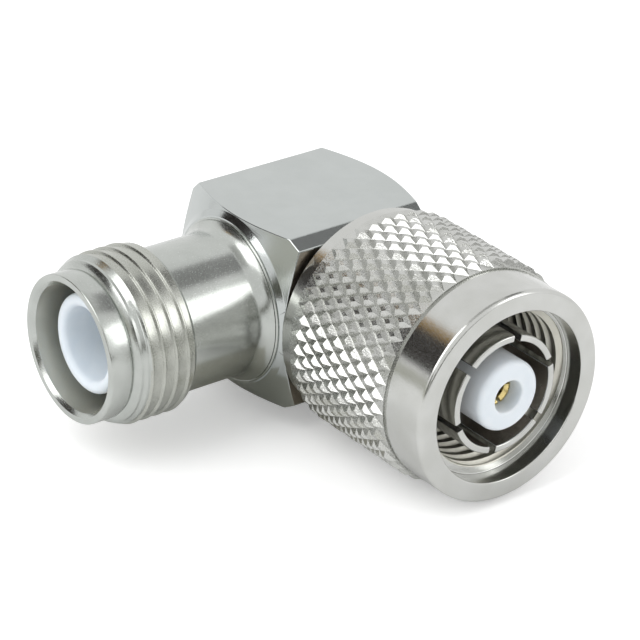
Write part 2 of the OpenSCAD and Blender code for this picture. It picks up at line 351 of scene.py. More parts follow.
def break_edges(piece: Piece, width: float, above: float = 25, segments: int = 2) -> None:
    """Takes the sharpness off a piece's edges.

    Args:
        piece: The piece, in millimetres.
        width: Width of the broken edge.
        above: Least bend of an edge that is broken, in degrees.
        segments: Number of facets across the edge.
    """
    modifier = piece.modifiers.new("edges", "BEVEL")
    modifier.width = width
    modifier.segments = segments
    modifier.limit_method = "ANGLE"
    modifier.angle_limit = math.radians(above)
    modifier.use_clamp_overlap = False
    apply_modifier(piece, modifier)


def join(pieces: Sequence[Piece]) -> Piece:
    """Joins pieces into the first one and returns it."""
    select_only(pieces[0])
    for other in pieces[1:]:
        other.select_set(True)
    bpy.ops.object.join()
    return pieces[0]


def helix_rod(name: str, thread: "Thread", start: float, end: float) -> Piece:
    """Models a threaded rod, solid to its axis, a little longer than the stretch it is for.

    Args:
        name: Name of the rod.
        thread: Form of the thread.
        start: Place where the stretch starts.
        end: Place where the stretch ends.

    Returns:
        The rod, with flat ends one pitch beyond the stretch.
    """
    turns = math.ceil((end - start) / thread.pitch) + ROD_SPARE
    first = start + (thread.phase / 360 - ROD_LEAD) * thread.pitch
    points = [point + Vector((0, first)) for point in eased(thread.corners(), False)]
    rod = draw_outline(name, points, False)
    leave_edit()
    screw = rod.modifiers.new("helix", "SCREW")
    screw.axis = "Z"
    screw.angle = FULL_TURN
    screw.screw_offset = thread.pitch
    screw.iterations = turns
    screw.steps = thread.steps
    screw.render_steps = thread.steps
    apply_modifier(rod, screw)
    edit(rod)
    bpy.ops.mesh.remove_doubles(threshold=MERGE)
    for place, outward in ((start - thread.pitch, -1), (end + thread.pitch, 1)):
        bpy.ops.mesh.select_all(action="SELECT")
        bpy.ops.mesh.bisect(
            plane_co=(0, 0, place), plane_no=(0, 0, outward), use_fill=True, clear_outer=True
        )
    close_up()
    leave_edit()
    return rod


@dataclass(frozen=True)
class Thread:
    """Form of a right-hand thread with eased crests and roots."""

    crest_r: float
    root_r: float
    phase: float
    pitch: float = 25.4 / 28
    crest_flat: float = 0.15
    half_angle: float = 30
    ease: float = 0.04
    steps: int = 128

    def corners(self) -> list[Corner]:
        """Draws one pitch of the thread, from the middle of a root to the middle of the next."""
        flank = (self.crest_r - self.root_r) * math.tan(math.radians(self.half_angle))
        crest = self.crest_flat / 2
        middle = self.pitch / 2
        return [
            Corner(self.root_r, 0),
            Corner(self.root_r, middle - crest - flank, self.ease),
            Corner(self.crest_r, middle - crest, self.ease),
            Corner(self.crest_r, middle + crest, self.ease),
            Corner(self.root_r, middle + crest + flank, self.ease),
            Corner(self.root_r, self.pitch),
        ]


def preset(node: bpy.types.Node, levels: dict[str | int, object]) -> None:
    """Sets inputs of a node by their names or numbers."""
    for key, level in levels.items():
        node.inputs[key].default_value = level


class Nodes:
    """Small builder of a material's nodes."""

    def __init__(self, name: str) -> None:
        """Starts an empty material with a principled shader.

        Args:
            name: Name of the material.
        """
        self.material = bpy.data.materials.new(name)
        self.material.use_nodes = True
        self.tree = self.material.node_tree
        self.shader = self.tree.nodes["Principled BSDF"]
        self.place = self.tree.nodes.new("ShaderNodeTexCoord").outputs["Object"]

    def add(self, kind: str, **settings: object) -> bpy.types.Node:
        """Adds a node and sets its properties.

        Args:
            kind: Type of the node.
            **settings: Properties of the node.

        Returns:
            The new node.
        """
        node = self.tree.nodes.new(kind)
        for key, value in settings.items():
            setattr(node, key, value)
        return node

    def link(self, source: Socket, target: Socket) -> None:
        """Links two sockets."""
        self.tree.links.new(source, target)

    def noise(self, size: float, detail: float = 2.0, stretch: Vector | None = None) -> Socket:
        """Adds a noise with features of a given size.

        Args:
            size: Size of a feature in millimetres.
            detail: Levels of finer noise in it.
            stretch: Factors on X, Y and Z that stretch or squeeze the noise.

        Returns:
            The noise's value.
        """
        place = self.place
        if stretch is not None:
            mapping = self.add("ShaderNodeMapping")
            preset(mapping, {"Scale": stretch})
            self.link(place, mapping.inputs["Vector"])
            place = mapping.outputs["Vector"]
        noise = self.add("ShaderNodeTexNoise")
        preset(noise, {"Scale": 1 / (size * MM), "Detail": detail})
        self.link(place, noise.inputs["Vector"])
        return noise.outputs["Fac"]

    def span(self, value: Socket, low: float, high: float) -> Socket:
        """Maps a noise value to a range.

        Args:
            value: The noise's value.
            low: Result where the noise is low.
            high: Result where the noise is high.

        Returns:
            The mapped value.
        """
        node = self.add("ShaderNodeMapRange")
        least, most = NOISE_SPAN
        preset(node, {"From Min": least, "From Max": most, "To Min": low, "To Max": high})
        self.link(value, node.inputs["Value"])
        return node.outputs["Result"]

    def tint(self, value: Socket, low: Sequence[float], high: Sequence[float]) -> None:
        """Varies the base colour between two colours.

        Args:
            value: The noise that mixes them.
            low: Colour where the noise is low.
            high: Colour where the noise is high.
        """
        ramp = self.add("ShaderNodeValToRGB")
        for element, position, colour in zip(ramp.color_ramp.elements, TINT_SPAN, (low, high)):
            element.position = position
            element.color = (*colour, 1)
        self.link(value, ramp.inputs["Fac"])
        self.link(ramp.outputs["Color"], self.shader.inputs["Base Color"])

    def relief(self, layers: Sequence[tuple[Socket, float]]) -> None:
        """Adds bump layers to the surface.

        Args:
            layers: Noise value and height in millimetres of each layer.
        """
        normal = None
        for value, height in layers:
            bump = self.add("ShaderNodeBump")
            preset(bump, {"Strength": 1.0, "Distance": height * MM})
            self.link(value, bump.inputs["Height"])
            if normal is not None:
                self.link(normal, bump.inputs["Normal"])
            normal = bump.outputs["Normal"]
        self.link(normal, self.shader.inputs["Normal"])


class Grain(Enum):
    """Direction of the fine tool marks on a metal surface, as factors on X, Y and Z."""

    BAR = (1.0, 0.04, 1.0)
    JACK = (0.02, 1.0, 0.02)
    PLUG = (1.0, 0.02, 0.02)
    NONE = (1.0, 1.0, 1.0)


@dataclass(frozen=True)
class Plated:
    """Plated metal: fine-grained plate over tool marks, with a little unevenness in tone and gloss."""

    name: str
    light: Colour
    dark: Colour
    smooth: float
    rough: float
    grain: Grain
    grain_height: float
    mark_height: float
    grain_size: float = 0.09
    mark_size: float = 0.05
    patch_size: float = 2.2

    def make(self) -> bpy.types.Material:
        """Builds the material."""
        nodes = Nodes(self.name)
        preset(nodes.shader, {"Metallic": 1.0})
        patches = nodes.noise(self.patch_size)
        nodes.tint(patches, self.dark, self.light)
        fine = nodes.noise(self.grain_size)
        nodes.link(nodes.span(fine, self.smooth, self.rough), nodes.shader.inputs["Roughness"])
        marks = nodes.noise(self.mark_size, MARK_DETAIL, Vector(self.grain.value))
        nodes.relief([(fine, self.grain_height), (marks, self.mark_height)])
        return nodes.material


@dataclass(frozen=True)
class Insulation:
    """White turned fluoropolymer, slightly waxy and translucent."""

    name: str
    light: Colour
    dark: Colour
    grain: Grain
    scatter: float = 0.45
    ior: float = 1.38
    cloud_size: float = 0.8
    smooth: float = 0.38
    rough: float = 0.5
    grain_size: float = 0.12
    grain_height: float = 0.0012
    mark_size: float = 0.07
    mark_height: float = 0.0008

    def make(self) -> bpy.types.Material:
        """Builds the material."""
        nodes = Nodes(self.name)
        preset(nodes.shader, {
            "Subsurface Weight": 1.0,
            "Subsurface Radius": (1.0, 1.0, 1.0),
            "Subsurface Scale": self.scatter * MM,
            "IOR": self.ior,
        })
        clouds = nodes.noise(self.cloud_size, CLOUD_DETAIL)
        nodes.tint(clouds, self.dark, self.light)
        nodes.link(nodes.span(clouds, self.smooth, self.rough), nodes.shader.inputs["Roughness"])
        marks = nodes.noise(self.mark_size, MARK_DETAIL, Vector(self.grain.value))
        nodes.relief([(nodes.noise(self.grain_size), self.grain_height), (marks, self.mark_height)])
        return nodes.material


@dataclass(frozen=True)
class Rubber:
    """Dark moulded silicone rubber."""

    name: str
    light: Colour
    dark: Colour
    cloud_size: float = 0.5
    smooth: float = 0.45
    rough: float = 0.62
    grain_size: float = 0.1
    grain_height: float = 0.003

    def make(self) -> bpy.types.Material:
        """Builds the material."""
        nodes = Nodes(self.name)
        clouds = nodes.noise(self.cloud_size, CLOUD_DETAIL)
        nodes.tint(clouds, self.dark, self.light)
        nodes.link(nodes.span(clouds, self.smooth, self.rough), nodes.shader.inputs["Roughness"])
        nodes.relief([(nodes.noise(self.grain_size), self.grain_height)])
        return nodes.material


class Finish(Enum):
    """Finishes of the adapter's pieces."""

    BLOCK = Plated("nickel_bar", (0.52, 0.545, 0.535), (0.495, 0.52, 0.51),
                   0.1, 0.18, Grain.BAR, 0.0014, 0.0005)
    JACK = Plated("nickel_jack", (0.53, 0.55, 0.525), (0.47, 0.49, 0.465),
                  0.16, 0.28, Grain.JACK, 0.0022, 0.0008, 0.07)
    PLUG = Plated("nickel_plug", (0.6, 0.605, 0.585), (0.55, 0.555, 0.53),
                  0.16, 0.26, Grain.PLUG, 0.0005, 0.0004)
    NUT = Plated("nickel_nut", (0.6, 0.605, 0.585), (0.55, 0.555, 0.53),
                 0.14, 0.24, Grain.PLUG, 0.0016, 0.0006)
    KNURL = Plated("nickel_knurl", (0.6, 0.605, 0.585), (0.52, 0.525, 0.5),
                   0.18, 0.32, Grain.NONE, 0.017, 0.002, 0.14)
    THREAD = Plated("nickel_thread", (0.5, 0.51, 0.47), (0.43, 0.44, 0.4),
                    0.18, 0.32, Grain.JACK, 0.004, 0.002, 0.06)
    # Painted light: a lighter, warmer copy of the nickel plate for the insides of the jack's mouth and the
    # nut, which makes them brighter than the same plate outside.
    BORE = Plated("nickel_bore_painted_light", (0.69, 0.68, 0.61), (0.63, 0.62, 0.55),
                  0.4, 0.52, Grain.NONE, 0.002, 0.0)
    # Painted shade: a dark brown copy of the nickel plate for the spring sleeve's bore and the block's face
    # behind the nut, standing in for the shade in those gaps.
    SPRING = Plated("painted_shade_plate", (0.4, 0.355, 0.3), (0.33, 0.29, 0.24),
                    0.26, 0.4, Grain.PLUG, 0.0012, 0.0006)
    GOLD = Plated("gold_plate", (0.84, 0.7, 0.34), (0.76, 0.6, 0.25),
                  0.2, 0.32, Grain.NONE, 0.0012, 0.0)
    STEEL = Plated("spring_steel", (0.42, 0.42, 0.42), (0.36, 0.36, 0.37),
                   0.22, 0.34, Grain.PLUG, 0.0008, 0.0004)
    JACK_CUP = Insulation("white_cup", (0.77, 0.825, 0.88), (0.74, 0.8, 0.86), Grain.JACK)
    PLUG_CORE = Insulation("white_core", (0.77, 0.815, 0.855), (0.745, 0.795, 0.835), Grain.PLUG)
    RUBBER = Rubber("dark_rubber", (0.03, 0.03, 0.032), (0.02, 0.02, 0.022))


MATERIALS: dict[Finish, bpy.types.Material] = {}


def material(finish: Finish) -> bpy.types.Material:
    """Gives a finish's material, built the first time it is asked for."""
    if finish not in MATERIALS:
        MATERIALS[finish] = finish.value.make()
    return MATERIALS[finish]


def coat(piece: Piece, finish: Finish) -> None:
    """Gives a piece its finish."""
    piece.data.materials.clear()
    piece.data.materials.append(material(finish))


def coat_faces(piece: Piece, finish: Finish, chosen: Callable[[Vector], bool]) -> None:
    """Gives some faces of a piece a finish of their own.

    Args:
        piece: The coated piece, in millimetres.
        finish: Finish of those faces.
        chosen: Tells by the middle of a face whether it is one of them.
    """
    edit(piece)
    pick(piece, Element.FACES, lambda side: chosen(side.calc_center_median()))
    piece.data.materials.append(material(finish))
    piece.active_material_index = len(piece.data.materials) - 1
    bpy.ops.object.material_slot_assign()
    bpy.ops.mesh.select_mode(type="VERT")
    leave_edit()


def coat_stretch(piece: Piece, finish: Finish, within: float, start: float, end: float) -> None:
    """Gives the faces of one stretch of a piece a finish of their own.

    Args:
        piece: The coated piece, in millimetres along +Z.
        finish: Finish of the stretch.
        within: Radius that its faces lie within.
        start: Place where the stretch starts.
        end: Place where it ends.
    """
    coat_faces(piece, finish, lambda at: start < at.z < end and math.hypot(at.x, at.y) < within)


def stand_in(
    piece: Piece, arm: Arm, node: str, sharp_above: float = 32, body: Body = Body.ELBOW
) -> None:
    """Sets a finished drawing in place on its arm, evens its shading and puts it in its node's stead.

    Args:
        piece: The coated piece, in millimetres along +Z.
        arm: The arm that it belongs to.
        node: The node of the frame that it stands for.
        sharp_above: Bend, in degrees, from which an edge shades sharp.
        body: The body that it rides on.
    """
    select_only(piece)
    piece.matrix_world = arm.placing()
    bpy.ops.object.transform_apply(location=True, rotation=True, scale=True)
    bpy.ops.object.shade_smooth_by_angle(angle=math.radians(sharp_above))
    shading = piece.modifiers.new("even_shading", "WEIGHTED_NORMAL")
    shading.keep_sharp = True
    shading.weight = FACE_WEIGHT
    apply_modifier(piece, shading)
    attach(piece, body.value)
    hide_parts(node)
    LOG.info("%s: %d faces", piece.name, len(piece.data.polygons))


@dataclass
class ElbowBlock:
    """Square bar with a turned cone at both ends, and the cap that closes its back end."""

    plug_seat: float = reach("elbow_block", 0, True)
    plug_rise: float = 0.27
    plug_chamfer: float = 0.53
    far_face: float = -reach("elbow_block", 0, False)
    height: float = reach("elbow_block", 2, True) - reach("elbow_block", 2, False)
    jack_face: float = -reach("elbow_block", 1, False)
    back_face: float = reach("elbow_block", 1, True)
    chamfer: float = 0.65
    jack_land_r: float = 5.55
    flare_h: float = 0.3
    flare_slope: float = 39
    flare_ease: float = 0.3
    back_land_r: float = 5.4
    jack_cone: float = 25
    back_cone: float = 28
    edge: float = 0.07
    cone_edge: float = 0.05
    edge_margin: float = 0.1
    edge_bend: float = 35
    edge_facets: int = 2
    sharp_above: float = 8
    jack_bore_r: float = 4.12
    plug_bore_r: float = 4.22
    plug_bore_depth: float = 1.3
    hub_seat_r: float = 5.02
    cap_r: float = (reach("access_cap", 0, True) - reach("access_cap", 0, False)) / 2
    cap_front: float = reach("access_cap", 1, True)
    cap_back: float = reach("access_cap", 1, False)
    cap_edge: float = 0.2
    seat_gap: float = 0.02
    contact_room_r: float = 3.27
    spigot_depth: float = 2.0

    def envelope(self) -> Piece:
        """Turns the shape that trims both ends of the bar."""
        beyond = math.hypot(self.far_face, self.height / 2) + PAST
        flare_r = self.jack_land_r + self.flare_h / math.tan(math.radians(self.flare_slope))
        flare = self.jack_face - self.flare_h
        back_rise = (beyond - self.back_land_r) * math.tan(math.radians(self.back_cone))
        jack_rise = (beyond - flare_r) * math.tan(math.radians(self.jack_cone))
        return turned("envelope", [
            (0, -self.back_face),
            (self.back_land_r, -self.back_face),
            (beyond, back_rise - self.back_face),
            (beyond, flare - jack_rise),
            (flare_r, flare, self.flare_ease),
            (self.jack_land_r, self.jack_face, Edge.CRISP),
            (0, self.jack_face),
        ])

    def bar(self) -> Piece:
        """Models the bar with its chamfered long edges, along the jack's axis."""
        length = self.back_face + self.jack_face + 2 * PAST
        middle = (self.jack_face - self.back_face) / 2
        size = (self.plug_seat + self.far_face, self.height, length)
        piece = cuboid("elbow_bar", size, ((self.plug_seat - self.far_face) / 2, 0, middle))
        pick(piece, Element.EDGES, lambda side: abs(side.verts[0].co.z - side.verts[1].co.z) > length / 2)
        bpy.ops.mesh.bevel(offset=self.chamfer, offset_type="OFFSET", segments=1)
        pick(piece, Element.POINTS, lambda point: point.co.x > self.plug_seat - MERGE)
        bpy.ops.transform.translate(value=(self.plug_rise, 0, 0))
        taller = (self.height / 2 - self.plug_chamfer) / (self.height / 2 - self.chamfer)
        bpy.ops.transform.resize(value=(1, taller, 1), center_override=(0, 0, 0))
        leave_edit()
        break_edges(piece, self.edge)
        return piece

    def bores(self) -> Piece:
        """Turns the bores along the jack's axis, as one cutter."""
        cap_seat = self.cap_back - self.seat_gap
        spigot = self.jack_face - self.spigot_depth
        return turned("jack_bores", [
            (0, -self.back_face - PAST),
            (self.cap_r + self.seat_gap, -self.back_face - PAST),
            (self.cap_r + self.seat_gap, -cap_seat),
            (self.contact_room_r, -cap_seat),
            (self.contact_room_r, spigot),
            (self.jack_bore_r, spigot),
            (self.jack_bore_r, self.jack_face + PAST),
            (0, self.jack_face + PAST),
        ])

    def side_bores(self) -> Piece:
        """Turns the bores along the plug's axis, as one cutter in the bar's drawing."""
        face = self.plug_seat
        beyond = face + self.plug_rise + PAST
        cutter = turned("plug_bores", [
            (0, 0),
            (self.contact_room_r, 0),
            (self.contact_room_r, face - self.plug_bore_depth),
            (self.plug_bore_r, face - self.plug_bore_depth),
            (self.plug_bore_r, face),
            (self.hub_seat_r, face),
            (self.hub_seat_r, beyond),
            (0, beyond),
        ])
        edit(cutter)
        bpy.ops.transform.rotate(value=-math.pi / 2, orient_axis="Y", center_override=(0, 0, 0))
        leave_edit()
        return cutter

    def is_outside(self, side: bmesh.types.BMEdge) -> bool:
        """Tells by its place and bend whether an edge is one of the block's outside edges.

        Args:
            side: An edge of the block, in millimetres along the jack's axis.

        Returns:
            True for an outside edge that is not part of a bore or the jack's land.
        """
        middle = (side.verts[0].co + side.verts[1].co) / 2
        off_jack = math.hypot(middle.x, middle.y) > self.jack_land_r + self.edge_margin
        off_plug = math.hypot(middle.y, middle.z) > self.hub_seat_r + self.edge_margin
        return off_jack and off_plug and side.calc_face_angle(0) > math.radians(self.edge_bend)

    def break_cone_edges(self, block: Piece) -> None:
        """Takes the sharpness off the block's outside edges, and leaves those of its bores."""
        edit(block)
        pick(block, Element.EDGES, self.is_outside)
        bpy.ops.mesh.bevel(
            offset=self.cone_edge, offset_type="OFFSET", segments=self.edge_facets, clamp_overlap=False
        )
        bpy.ops.mesh.select_mode(type="VERT")
        leave_edit()

    def build(self) -> None:
        """Models and dresses the block and its cap."""
        block = self.bar()
        cut(block, self.envelope(), Cut.WITHIN)
        cut(block, self.bores())
        cut(block, self.side_bores())
        self.break_cone_edges(block)
        coat(block, Finish.BLOCK)
        # Painted shade: the block's face behind the nut gets the dark brown plate.
        behind_nut = self.plug_seat + self.plug_rise - MERGE
        coat_faces(block, Finish.SPRING, lambda at: at.x > behind_nut)
        stand_in(block, Arm.JACK, "elbow_block", self.sharp_above)

        cap = turned("end_cap", [
            (0, self.cap_back),
            (self.cap_r, self.cap_back, Edge.BROKEN),
            (self.cap_r, self.cap_front - self.cap_edge, Edge.SOFT),
            (self.cap_r - self.cap_edge, self.cap_front, Edge.SOFT),
            (0, self.cap_front),
        ])
        coat(cap, Finish.BLOCK)
        stand_in(cap, Arm.BACK, "access_cap")


@dataclass
class JackArm:
    """Threaded barrel of the jack with its white cup and pin."""

    rim: float = -reach("jack_barrel", 1, False)
    root: float = -reach("jack_barrel", 1, True)
    face: float = -reach("elbow_block", 1, False)
    cup_front: float = -reach("jack_insulator", 1, False)
    cup_back: float = -reach("jack_insulator", 1, True)
    pin_tip: float = -reach("jack_pin", 1, False)
    pin_tail: float = -reach("jack_pin", 1, True)
    crest_r: float = (reach("jack_barrel", 0, True) - reach("jack_barrel", 0, False)) / 2
    thread_root_r: float = 5.4
    thread_flat: float = 0.1
    thread_start: float = 12.8
    thread_end: float = 16.43
    thread_back_r: float = 5.05
    thread_phase: float = 140
    lead_r: float = 5.23
    lead_start: float = 16.81
    lead_end: float = 17.0
    nose_r: float = 4.83
    nose_start: float = 17.3
    neck_r: float = 4.75
    nose_groove: float = 0.07
    groove_len: float = 0.14
    groove_rise: float = 0.035
    lead_foot: float = 0.105
    lead_sink: float = 0.02
    core_sink: float = 0.03
    thread_setback: float = 0.01
    envelope_over: float = 0.2
    bead_r: float = 5.5
    bead_top_r: float = 5.3
    bead_len: float = 0.15
    bead_seam: float = 0.04
    neck_fillet: float = 1.2
    spigot_r: float = 4.1
    seat_r: float = 3.27
    mouth_r: float = 4.15
    mouth_depth: float = 8.7
    rim_chamfer: float = 0.25
    cup_outer_r: float = 3.25
    cup_inner_r: float = 2.42
    cup_depth: float = 6.3
    cup_edge: float = 0.39
    cup_corner: float = 0.15
    pin_r: float = 0.68
    pin_body_r: float = 1.05
    pin_tip_r: float = 0.34
    pin_taper: float = 0.7
    pin_shoulder: float = 0.3
    pin_round: float = 0.15
    cross_hole_r: float = 0.62
    sleeve_r: float = 4.5
    fit_gap: float = 0.02
    sharp_above: float = 40

    def fillet(self) -> list[tuple[float, float]]:
        """Draws the hollow curve that leads from the bead down to the neck."""
        sweep = math.acos(1 - (self.bead_top_r - self.neck_r) / self.neck_fillet)
        foot = self.face + self.bead_len + self.neck_fillet * math.sin(sweep)
        steps = 2 * math.ceil(sweep / ARC_STEP)
        bends = [sweep * (1 - k / steps) for k in range(steps + 1)]
        radius = self.neck_fillet
        return [
            (self.neck_r + radius * (1 - math.cos(bend)), foot - radius * math.sin(bend))
            for bend in bends
        ]

    def barrel(self) -> Piece:
        """Turns the barrel, at the thread's root where the thread goes on."""
        seam_s = self.face + self.bead_len - self.bead_seam
        core_r = self.thread_root_r - self.core_sink
        back_end = self.thread_start + core_r - self.thread_back_r
        groove_r = self.nose_r - self.nose_groove
        groove_end = self.nose_start + self.groove_len
        return turned("jack_shell", [
            (self.seat_r, self.root, Edge.BROKEN),
            (self.spigot_r, self.root, Edge.BROKEN),
            (self.spigot_r, self.face, Edge.HAIR),
            (self.bead_r, self.face, Edge.CRISP),
            (self.bead_top_r + self.bead_seam, seam_s),
            (self.bead_top_r - self.bead_seam, seam_s - self.bead_seam / 2),
            *self.fillet(),
            (self.neck_r, self.thread_start, Edge.SOFT),
            (self.thread_back_r, self.thread_start, Edge.SOFT),
            (core_r, back_end),
            (core_r, self.thread_end),
            (groove_r, self.nose_start, Edge.HAIR),
            (groove_r, groove_end, Edge.HAIR),
            (self.nose_r, groove_end + self.groove_rise, Edge.CRISP),
            (self.nose_r, self.rim, Edge.ROUNDED),
            (self.mouth_r + self.rim_chamfer, self.rim, Edge.CRISP),
            (self.mouth_r, self.rim - self.rim_chamfer, Edge.FINE),
            (self.mouth_r, self.rim - self.mouth_depth, Edge.ROUNDED),
            (self.seat_r, self.rim - self.mouth_depth, Edge.BROKEN),
        ])

    def thread_sleeve(self) -> Piece:
        """Models the thread with its stepped lead, as a sleeve on the barrel."""
        form = Thread(self.crest_r, self.thread_root_r, self.thread_phase, crest_flat=self.thread_flat)
        rod = helix_rod("jack_thread", form, self.thread_start, self.nose_start)
        back = self.thread_start + self.thread_setback
        past_r = self.crest_r + self.envelope_over
        lead_slope = (self.lead_start - self.thread_end) / (self.crest_r - self.lead_r)
        past_s = self.thread_end - self.envelope_over * lead_slope
        foot_r = self.nose_r - self.nose_groove - self.lead_sink
        foot = self.nose_start + self.lead_foot
        envelope = turned("thread_envelope", [
            (self.sleeve_r, back),
            (self.thread_back_r, back),
            (past_r, back + past_r - self.thread_back_r),
            (past_r, past_s),
            (self.lead_r, self.lead_start, Edge.CRISP),
            (self.lead_r, self.lead_end, Edge.CRISP),
            (foot_r, foot),
            (self.sleeve_r, foot),
        ])
        cut(rod, envelope, Cut.WITHIN)
        return rod

    def cup(self) -> Piece:
        """Turns the white cup."""
        floor = self.cup_front - self.cup_depth
        hole = self.pin_body_r + self.fit_gap
        return turned("jack_cup", [
            (hole, self.cup_back, Edge.BROKEN),
            (self.cup_outer_r, self.cup_back, Edge.ROUNDED),
            (self.cup_outer_r, self.cup_front, self.cup_edge),
            (self.cup_inner_r, self.cup_front, self.cup_edge),
            (self.cup_inner_r, floor, self.cup_corner),
            (hole, floor, Edge.CRISP),
        ])

    def pin(self) -> Piece:
        """Turns the pin and drills the hole for the other contact's tail."""
        floor = self.cup_front - self.cup_depth
        piece = turned("jack_centre_pin", [
            (0, self.pin_tail),
            (self.pin_body_r, self.pin_tail, Edge.EASED),
            (self.pin_body_r, floor, Edge.BROKEN),
            (self.pin_r, floor, Edge.BROKEN),
            (self.pin_r, self.pin_tip - self.pin_taper, self.pin_shoulder),
            (self.pin_tip_r, self.pin_tip, self.pin_round),
            (0, self.pin_tip),
        ])
        drill = turned("drill", [
            (0, -2 * self.pin_body_r),
            (self.cross_hole_r, -2 * self.pin_body_r),
            (self.cross_hole_r, 2 * self.pin_body_r),
            (0, 2 * self.pin_body_r),
        ])
        edit(drill)
        bpy.ops.transform.rotate(value=math.pi / 2, orient_axis="Y", center_override=(0, 0, 0))
        leave_edit()
        cut(piece, drill)
        return piece

    def build(self) -> None:
        """Models and dresses the jack's pieces."""
        barrel = self.barrel()
        coat(barrel, Finish.JACK)
        bottom = self.rim - self.mouth_depth
        # Painted light: the jack's mouth bore gets the lighter copy of the plate.
        coat_stretch(barrel, Finish.BORE, self.mouth_r + MERGE, bottom, self.rim - self.rim_chamfer)
        thread = self.thread_sleeve()
        coat(thread, Finish.JACK)
        coat_stretch(thread, Finish.THREAD, self.crest_r + PAST, self.thread_start, self.thread_end)
        shell = join([barrel, thread])
        stand_in(shell, Arm.JACK, "jack_barrel", self.sharp_above)
        cup = self.cup()
        coat(cup, Finish.JACK_CUP)
        stand_in(cup, Arm.JACK, "jack_insulator")
        pin = self.pin()
        coat(pin, Finish.GOLD)
        stand_in(pin, Arm.JACK, "jack_pin")


@dataclass
class PlugArm:
    """Hub of the plug with its spring sleeve, white core, socket, gasket and retaining ring."""

    root: float = reach("plug_shell", 0, False)
    hub_front: float = reach("plug_shell", 0, True)
    face: float = reach("elbow_block", 0, True)
    hub_r: float = 5.0
    spigot_r: float = 4.2
    seat_r: float = 3.27
    sleeve_start: float = reach("outer_contact", 0, False)
    sleeve_tip: float = reach("outer_contact", 0, True)
    sleeve_r: float = 3.95
    sleeve_wall: float = 0.45
    tip_edge: float = 0.1
    finger_edge: float = 0.03
    finger_bend: float = 40
    slot_count: int = 6
    slot_w: float = 0.55
    slot_root: float = 1.6
    slot_turn: float = 49
    core_back: float = reach("plug_insulator", 0, False)
    core_front: float = reach("plug_insulator", 0, True)
    core_base_r: float = 3.25
    core_land_r: float = 3.48
    core_land: float = 0.9
    core_r: float = 2.35
    core_round: float = 0.4
    core_mouth: float = 0.14
    socket_front: float = reach("plug_socket", 0, True)
    socket_tail: float = reach("plug_socket", 0, False)
    socket_r: float = 1.05
    socket_bore_r: float = 0.71
    socket_depth: float = 5.0
    socket_lead: float = 0.2
    socket_floor: float = 1.0
    tail_r: float = 0.6
    slit_count: int = 4
    slit_w: float = 0.25
    slit_len: float = 4.0
    slit_turn: float = 15
    ring_start: float = reach("retaining_ring", 0, False)
    ring_end: float = reach("retaining_ring", 0, True)
    ring_inner_r: float = 4.47
    ring_outer_r: float = 5.4
    ring_split: float = 1.2
    groove_r: float = 4.45
    groove_gap: float = 0.1
    gasket_r: float = 4.95
    gasket_foot: float = 0.12
    gasket_lip: float = 0.2
    gasket_end: float = reach("gasket", 0, True)
    fit_gap: float = 0.02

    def hub(self) -> Piece:
        """Turns the hub that the nut turns on."""
        groove = self.ring_start - self.groove_gap
        groove_end = self.ring_end + self.groove_gap
        seat = self.sleeve_r + self.fit_gap
        return turned("plug_hub", [
            (self.seat_r, self.root, Edge.BROKEN),
            (self.spigot_r, self.root, Edge.BROKEN),
            (self.spigot_r, self.face, Edge.HAIR),
            (self.hub_r, self.face, Edge.SOFT),
            (self.hub_r, groove, Edge.FINE),
            (self.groove_r, groove, Edge.FINE),
            (self.groove_r, groove_end, Edge.FINE),
            (self.hub_r, groove_end, Edge.FINE),
            (self.hub_r, self.hub_front, Edge.SOFT),
            (seat, self.hub_front, Edge.BROKEN),
            (seat, self.sleeve_start, Edge.CRISP),
            (self.seat_r, self.sleeve_start, Edge.BROKEN),
        ])

    def slots(
        self, count: int, turn: float, width: float, inner: float, start: float, end: float
    ) -> Piece:
        """Models radial slots as one cutter.

        Args:
            count: Number of slots.
            turn: Place of the first slot round the axis, in degrees.
            width: Width of a slot.
            inner: Radius that the slots start from.
            start: Place where the slots start.
            end: Place where they end.

        Returns:
            The cutter.
        """
        blades = []
        reach_out = self.sleeve_r + PAST
        for i in range(count):
            middle = ((reach_out + inner) / 2, 0, (start + end) / 2)
            blade = cuboid("blade", (reach_out - inner, width, end - start), middle)
            leave_edit()
            blade.rotation_euler.z = math.radians(turn) + FULL_TURN * i / count
            select_only(blade)
            bpy.ops.object.transform_apply(location=True, rotation=True, scale=True)
            blades.append(blade)
        return join(blades)

    def spring_sleeve(self) -> Piece:
        """Turns the spring sleeve and slots it into fingers."""
        bore = self.sleeve_r - self.sleeve_wall
        piece = turned("spring_sleeve", [
            (bore, self.sleeve_start, Edge.FINE),
            (self.sleeve_r, self.sleeve_start, Edge.FINE),
            (self.sleeve_r, self.sleeve_tip, self.tip_edge),
            (bore, self.sleeve_tip, self.tip_edge),
        ])
        start = self.hub_front + self.slot_root
        end = self.sleeve_tip + PAST
        cut(piece, self.slots(self.slot_count, self.slot_turn, self.slot_w, self.core_r, start, end))
        break_edges(piece, self.finger_edge, self.finger_bend, segments=1)
        return piece

    def core(self) -> Piece:
        """Turns the white core."""
        hole = self.socket_r + self.fit_gap
        base = self.socket_front - self.socket_depth - self.socket_floor
        land = self.hub_front + self.core_land
        tail_hole = self.tail_r + self.fit_gap
        return turned("plug_core", [
            (tail_hole, self.core_back, Edge.FINE),
            (self.core_base_r, self.core_back, Edge.ROUNDED),
            (self.core_base_r, self.sleeve_start, Edge.CRISP),
            (self.core_land_r, self.sleeve_start, Edge.CRISP),
            (self.core_land_r, land, Edge.EASED),
            (self.core_r, land, Edge.ROUNDED),
            (self.core_r, self.core_front, self.core_round),
            (hole, self.core_front, self.core_mouth),
            (hole, base, Edge.CRISP),
            (tail_hole, base, Edge.CRISP),
        ])

